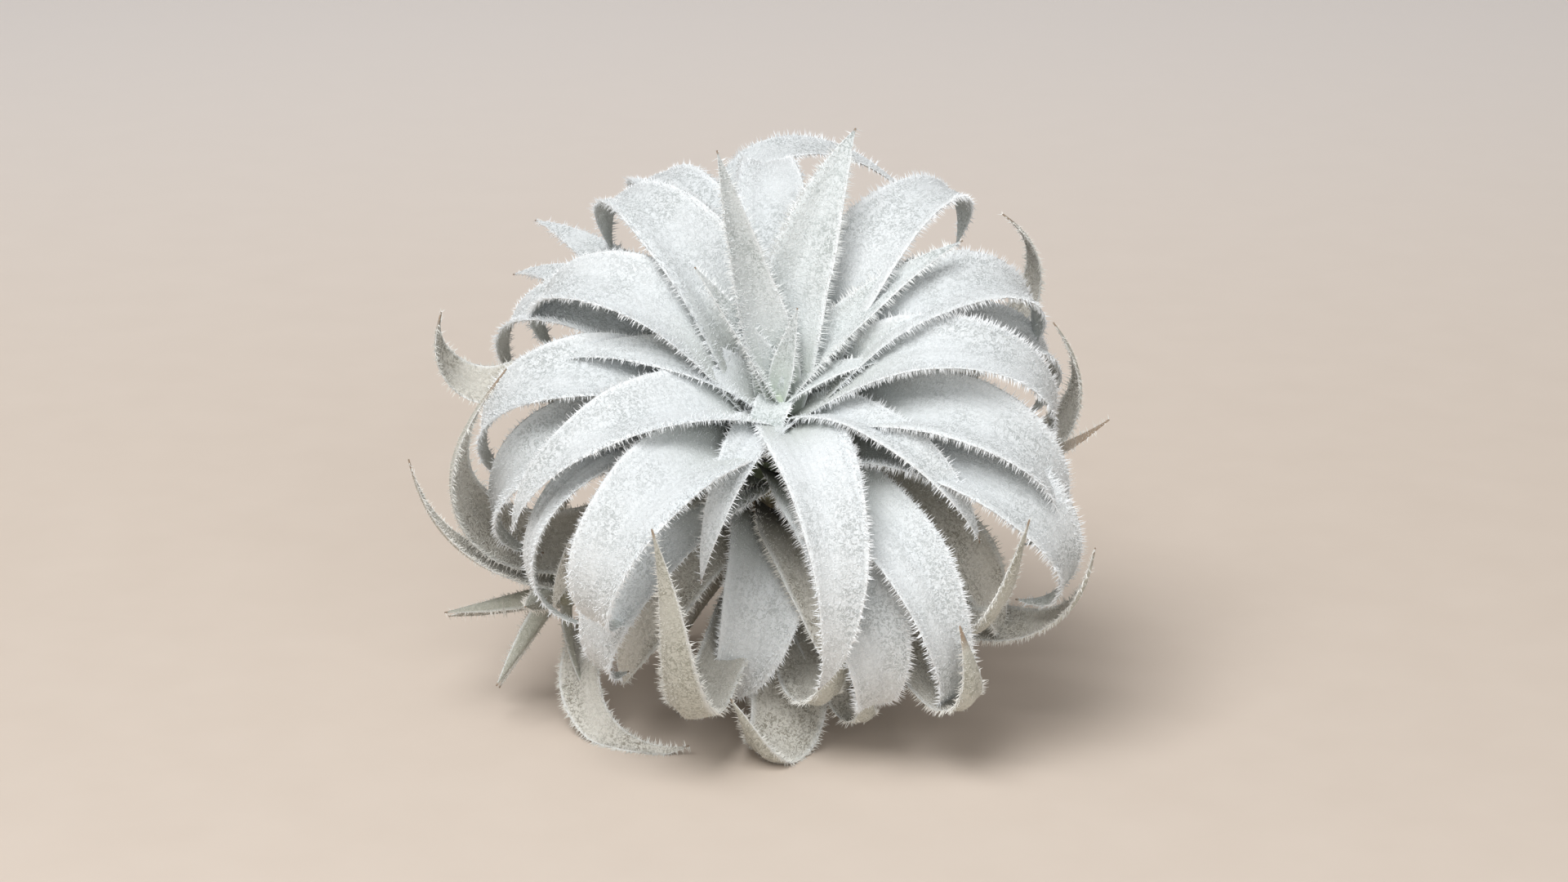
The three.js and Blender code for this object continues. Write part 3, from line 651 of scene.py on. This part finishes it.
old_hairs = hair_material("old_leaf_hairs", (0.82, 0.82, 0.78, 1))
skins = [(old_skin, old_hairs), (silver_skin, silver_hairs)]
for k, surface in enumerate(blades(lower_leaves, lower_look, seed=51)):
    skin, hairs = skins[lower_leaves[k].get("pale", 0)]
    put_leaf(f"lower_leaf_{k + 1}", [surface], skin, hairs, seed=500 + k)

# The curled leaves are old ones that hang low and whose ends have curled up again as they dried. A few have
# brown tips.
curled_leaves = [
    {"turn": -18.5, "low": 33, "rise": 95, "bend": 5, "long": 91, "wide": 9, "curl": -112,
     "curl_at": 0.4, "snap": 4, "sway": -22, "sway_at": 0.35, "taper": 0.5},
    {"turn": 8, "low": 30, "rise": 108, "bend": 8, "long": 61, "wide": 11, "curl": -135,
     "curl_at": 0.47, "snap": 2, "sway": 66, "sway_at": 0.45},
    {"turn": 3, "low": 33, "rise": 110, "bend": 15, "long": 62, "wide": 14, "curl": -120,
     "curl_at": 0.6, "snap": 2.5, "sway": -95, "sway_at": 0.45, "taper": 0.5},
    {"turn": 21, "low": 33, "rise": 102, "bend": 25, "long": 52, "wide": 13, "curl": -150, "curl_at": 0.65},
    {"turn": 35.5, "low": 28, "rise": 90, "bend": 25, "long": 74, "wide": 13, "curl": -142,
     "curl_at": 0.61, "snap": 2, "dry": 0.08},
    {"turn": 46.5, "low": 25, "rise": 97, "bend": 5, "long": 77, "wide": 10, "curl": -100,
     "curl_at": 0.42, "snap": 2.5, "sway": 18, "sway_at": 0.5, "taper": 0.5},
    {"turn": 62.5, "low": 34, "rise": 97, "bend": 10, "long": 79, "wide": 11, "curl": -102,
     "curl_at": 0.42},
    {"turn": 88, "low": 22, "rise": 80, "bend": 5, "long": 60, "wide": 8, "curl": -45,
     "curl_at": 0.6, "dry": 0.3},
    {"turn": 103, "low": 28, "rise": 88, "bend": 10, "long": 82, "wide": 12, "curl": -125, "curl_at": 0.45},
    {"turn": 124, "low": 22, "rise": 78, "bend": 10, "long": 84, "wide": 10, "curl": -125,
     "curl_at": 0.5, "dry": 0.08},
    {"turn": -164, "low": 17, "rise": 45, "bend": 90, "long": 100, "wide": 7, "sway": -130,
     "sway_at": 0.31, "taper": 0.75, "pale": 1},
    {"turn": -104, "low": 18, "rise": 52, "bend": 100, "long": 78, "wide": 13, "curl": -165,
     "curl_at": 0.68, "taper": 0.5, "dry": 0.06},
    {"turn": -81, "low": 30, "rise": 92, "bend": 20, "long": 96, "wide": 13, "curl": -138,
     "curl_at": 0.36, "sway": -52, "sway_at": 0.3, "roll": -30, "taper": 0.55, "dry": 0.1},
    {"turn": -76, "low": 34, "rise": 96, "bend": 15, "long": 87, "wide": 9, "curl": -105,
     "curl_at": 0.3, "snap": 1.4, "dry": 0.08},
]
curled_look = {"grooves": 1.6, "relief": 0.34, "channel": 1.7, "green": 1.0, "green_to": 0.6}
for k, surface in enumerate(blades(curled_leaves, curled_look, seed=61)):
    skin, hairs = skins[curled_leaves[k].get("pale", 0)]
    put_leaf(f"curled_leaf_{k + 1}", [surface], skin, hairs, seed=600 + k)

# The oldest leaves are what the plant lies on. They hold together in a collar of dry leaf bases round the
# foot of the stem, frayed along its upper rim.
COLLAR_HEIGHT = 4
COLLAR_THICKNESS = 2.2
COLLAR_GAP = 0.6
COLLAR_FRAY = 0.5
base_leaf_rows = [
    {"turn": -80, "low": 36, "rise": 103, "bend": 27, "long": 77, "wide": 8, "sway": 178,
     "sway_at": 0.2, "taper": 0.6},
    {"turn": 75, "low": 36, "rise": 134, "bend": 10, "long": 48, "wide": 12, "curl": -50,
     "curl_at": 0.75},
    {"turn": 135, "low": 36, "rise": 160, "bend": 10, "long": 51, "wide": 12, "curl": -60,
     "curl_at": 0.78},
    {"turn": -165, "low": 36, "rise": 168, "bend": 10, "long": 49, "wide": 12, "curl": -65,
     "curl_at": 0.78},
    {"turn": -112, "low": 36, "rise": 153, "bend": 8, "long": 52.5, "wide": 12, "curl": -60,
     "curl_at": 0.75},
    {"turn": 103, "low": 36, "rise": 120, "bend": 60, "long": 48, "wide": 12},
    {"turn": 160, "low": 36, "rise": 124, "bend": 62, "long": 48, "wide": 12},
    {"turn": -140, "low": 36, "rise": 122, "bend": 62, "long": 48, "wide": 12},
]


def collar_surface(around=96, section=12):
    """A ring with a rounded section, carried about the stem's axis. Its rim rises and falls unevenly."""
    turn = np.linspace(0, 2 * np.pi, around, endpoint=False)[:, None]
    angle = np.linspace(0, 2 * np.pi, section, endpoint=False)[None, :]
    middle = STEM_RADIUS + COLLAR_GAP + (COLLAR_THICKNESS - COLLAR_GAP) / 2
    radius = middle + (COLLAR_THICKNESS - COLLAR_GAP) / 2 * np.cos(angle)
    fray = COLLAR_FRAY * (np.sin(17 * turn) + np.sin(29 * turn + 1)) / 2
    level = -STEM_LENGTH + COLLAR_HEIGHT / 2 + (COLLAR_HEIGHT / 2 - COLLAR_FRAY + fray) * np.sin(angle)
    points = np.stack([radius * np.cos(turn), radius * np.sin(turn), level], -1)
    fields = even_fields((around, section), along=1.0, under=1.0, dry=1.0, tone=0.3)
    return in_plant(points[::-1]), True, fields


base_parts = [collar_surface()] + blades(base_leaf_rows, curled_look, seed=71)
put_leaf("base_leaves", base_parts, old_skin, old_hairs, seed=72, density=2.0)

# The offset is a young plant at the end of a short runner from the foot of the stem: a round crown and two
# turns of narrow pointed leaves, a little darker and browner than the rest of the plant. Part of that
# darkness is painted shade, for the shadow that the plant casts over it.
OFFSET_HEART = np.array([-42.0, 9.2, -40.5])
OFFSET_AXIS = np.array([-0.78, -0.25, -0.5])
OFFSET_LEAVES = 8
OFFSET_BODY_RADIUS = 4
OFFSET_BODY_DROP = 3
OFFSET_LEAF_START = 1.2
RUNNER_RADIUS = 2
RUNNER_START = np.array([-2.8, 16.2, -32.5])
RUNNER_BEND = np.array([-21.0, 12.2, -37.0])
offset_look = {"grooves": 1.2, "relief": 0.08, "channel": 1.3, "green": 0.2, "green_to": 0.8}


def shortest_turn(axis):
    """The rotation that takes +Z to an axis the shortest way."""
    z = axis / np.linalg.norm(axis)
    v = np.cross([0.0, 0.0, 1.0], z)
    skew = np.array([[0, -v[2], v[1]], [v[2], 0, -v[0]], [-v[1], v[0], 0]])
    return np.eye(3) + skew + skew @ skew / (1 + z[2])


def in_offset(points):
    """Offset millimetres (axis +Z) to metres in the plant's frame."""
    return (points @ shortest_turn(OFFSET_AXIS).T + OFFSET_HEART + HEART) * MM


def upright(points):
    """Metres in the plant's frame back to rosette millimetres, the inverse of in_plant."""
    x, y, z = np.moveaxis(points / MM - HEART, -1, 0)
    turned = [x, y * math.cos(LEAN) + z * math.sin(LEAN), z * math.cos(LEAN) - y * math.sin(LEAN)]
    return np.stack(turned, -1)


def runner_surface(rings=28, around=16):
    """A round tube along a curve through the bend, whose frame keeps one side towards +Z."""
    t = np.linspace(0, 1, rings)[:, None]
    angle = np.linspace(0, 2 * np.pi, around, endpoint=False)
    line = (1 - t) ** 2 * RUNNER_START + 2 * t * (1 - t) * RUNNER_BEND + t**2 * OFFSET_HEART
    way = 2 * (1 - t) * (RUNNER_BEND - RUNNER_START) + 2 * t * (OFFSET_HEART - RUNNER_BEND)
    way = unit(way)
    beside = unit(np.cross([0.0, 0.0, 1.0], way))
    over = np.cross(way, beside)
    radius = RUNNER_RADIUS * (1 + 0.08 * np.sin(40 * t))
    turned = beside[:, None, :] * np.cos(angle)[:, None] + over[:, None, :] * np.sin(angle)[:, None]
    points = line[:, None, :] + turned * radius[..., None]
    fields = even_fields((rings, around), under=1.0, green=0.2, dry=0.5, tone=0.6)
    return (points + HEART) * MM, False, fields


offset_rows = [{"turn": k * 360 / OFFSET_LEAVES, "low": 2.5 + 1.5 * (k % 2), "rise": 22 + 26 * (k % 2),
                "bend": 12 + 22 * (k % 2), "long": 22 - 2 * (k % 2), "wide": 4.6, "fold": 0.4, "dry": 0.04}
               for k in range(OFFSET_LEAVES)]
offset_parts = [runner_surface()]
body, body_fields = crown_surface(OFFSET_BODY_RADIUS, (0, 0, -OFFSET_BODY_DROP))
offset_parts.append((in_offset(body), False, body_fields))
offset_blades = blades(offset_rows, offset_look, seed=81, start_share=0, least_start=OFFSET_LEAF_START)
for points, closed, fields in offset_blades:
    offset_parts.append((on_ground(in_offset(upright(points)), fields["under"]), closed, fields))
# Painted shade: the offset's skin and hairs are darker than their own browner colour, for the plant's shadow
# over it.
offset_skin_and_shade = leaf_material("offset_leaf_skin_and_shade", silver=(0.5, 0.48, 0.43, 1), gap=(0.2, 0.19, 0.14, 1),
                            gaps=0.8, foot=(0.3, 0.31, 0.22, 1), bare_and_shade=0, white_edge=0.5)
offset_hairs_and_shade = hair_material("offset_leaf_hairs_and_shade", (0.72, 0.7, 0.65, 1))
put_leaf("offset", offset_parts, offset_skin_and_shade, offset_hairs_and_shade, seed=82, length=0.5)

# The floor is one pale sheet that curves up far behind the plant into a plain backdrop, and gets paler
# towards it, partly the backdrop's own paler colour and partly painted light that makes up for the lamp
# light falling off far behind. It is the stage and no part of the plant.
FLOOR_HALF_WIDTH = 3.0
FLOOR_FRONT = -2.0
FLOOR_BACK = 1.2
BACKDROP_BEND = 0.8
BACKDROP_HEIGHT = 2.5
FLOOR_DARK = (0.66, 0.57, 0.49, 1)
FLOOR_LIGHT = (0.7, 0.61, 0.53, 1)
BACKDROP_PALE_AND_LIT = (0.88, 0.83, 0.8, 1)
PALER_FROM = 0.05
PALEST_AT = 0.8


def floor_mesh(columns=24, steps=24):
    """A profile, flat and then a quarter circle and then straight up, carried sideways."""
    angle = np.linspace(0, np.pi / 2, steps)
    wall = FLOOR_BACK + BACKDROP_BEND
    y = np.concatenate([[FLOOR_FRONT], FLOOR_BACK + BACKDROP_BEND * np.sin(angle), [wall]])
    z = np.concatenate([[0], BACKDROP_BEND * (1 - np.cos(angle)), [BACKDROP_HEIGHT]])
    x = np.linspace(-FLOOR_HALF_WIDTH, FLOOR_HALF_WIDTH, columns)
    points = np.stack([x[None, :] + 0 * y[:, None], y[:, None] + 0 * x, z[:, None] + 0 * x], -1)
    i, j = np.meshgrid(np.arange(len(y) - 1), np.arange(columns - 1), indexing="ij")
    corner = i * columns + j
    quads = np.stack([corner, corner + 1, corner + columns + 1, corner + columns], -1).reshape(-1, 4)
    return points.reshape(-1, 3), quads


floor_material, floor_shader, floor_place = new_material("pale_floor", roughness=0.9, sheen=0.0)
floor_colour = noise(floor_place, 60, detail=3).mix(FLOOR_DARK, FLOOR_LIGHT)
floor_depth = floor_place.node("SeparateXYZ", {}, {0: floor_place}, "Y")
# Painted light as well as a paler backdrop colour: the floor turns paler further back, making up for the
# lamp light that falls off there.
feed(floor_shader, "Base Color", floor_depth.step(PALER_FROM, PALEST_AT).mix(floor_colour, BACKDROP_PALE_AND_LIT))
floor = put_mesh("pale_floor", *floor_mesh(), np.zeros((0, 3), int), {}, floor_material)

# The light is a wide soft lamp over the plant, a weaker one from the front and a faint one on the backdrop,
# in a pale even room. The camera looks slightly down on the plant from the front.
CAMERA_PLACE = (0.00381, -0.63392, 0.2565)
CAMERA_TARGET = (0.00381, -0.00622, 0.0525)
CAMERA_LENS = 85
CAMERA_SENSOR = 36
ROOM_LIGHT = 0.24
ROOM_COLOUR = (1.0, 0.985, 0.96, 1)


def aim(item, place, target):
    """Puts an object at a place, its own -Z towards a target and its Y up."""
    item.location = place
    way = np.array(target) - np.array(place)
    across = np.cross(way, [0, 0, 1])
    item.rotation_euler = (math.atan2(math.hypot(way[0], way[1]), -way[2]), 0,
                           math.atan2(across[1], across[0]))


def soft_lamp(name, place, size, power, colour, target):
    """A square lamp that faces a target."""
    lamp = bpy.data.lights.new(name, "AREA")
    lamp.size = size
    lamp.energy = power
    lamp.color = colour
    item = bpy.data.objects.new(name, lamp)
    bpy.context.scene.collection.objects.link(item)
    aim(item, place, target)


soft_lamp("overhead_lamp", (-0.35, -0.62, 1.2), size=0.8, power=17, colour=(1.0, 1.0, 1.0),
          target=CAMERA_TARGET)
soft_lamp("front_lamp", (0.35, -1.4, 0.6), size=0.9, power=6.5, colour=(0.97, 0.985, 1.0),
          target=CAMERA_TARGET)
soft_lamp("backdrop_lamp", (0, 0.3, 0.7), size=0.8, power=1.0, colour=(1.0, 0.99, 0.98),
          target=(0, 1.5, 0.1))

world = bpy.data.worlds.new("pale_room")
world.use_nodes = True
world.node_tree.nodes["Background"].inputs["Color"].default_value = ROOM_COLOUR
world.node_tree.nodes["Background"].inputs["Strength"].default_value = ROOM_LIGHT
bpy.context.scene.world = world
bpy.context.scene.view_settings.view_transform = "Standard"

camera = bpy.data.objects.new("camera", bpy.data.cameras.new("camera"))
camera.data.lens = CAMERA_LENS
camera.data.sensor_width = CAMERA_SENSOR
bpy.context.scene.collection.objects.link(camera)
aim(camera, CAMERA_PLACE, CAMERA_TARGET)
bpy.context.scene.camera = camera
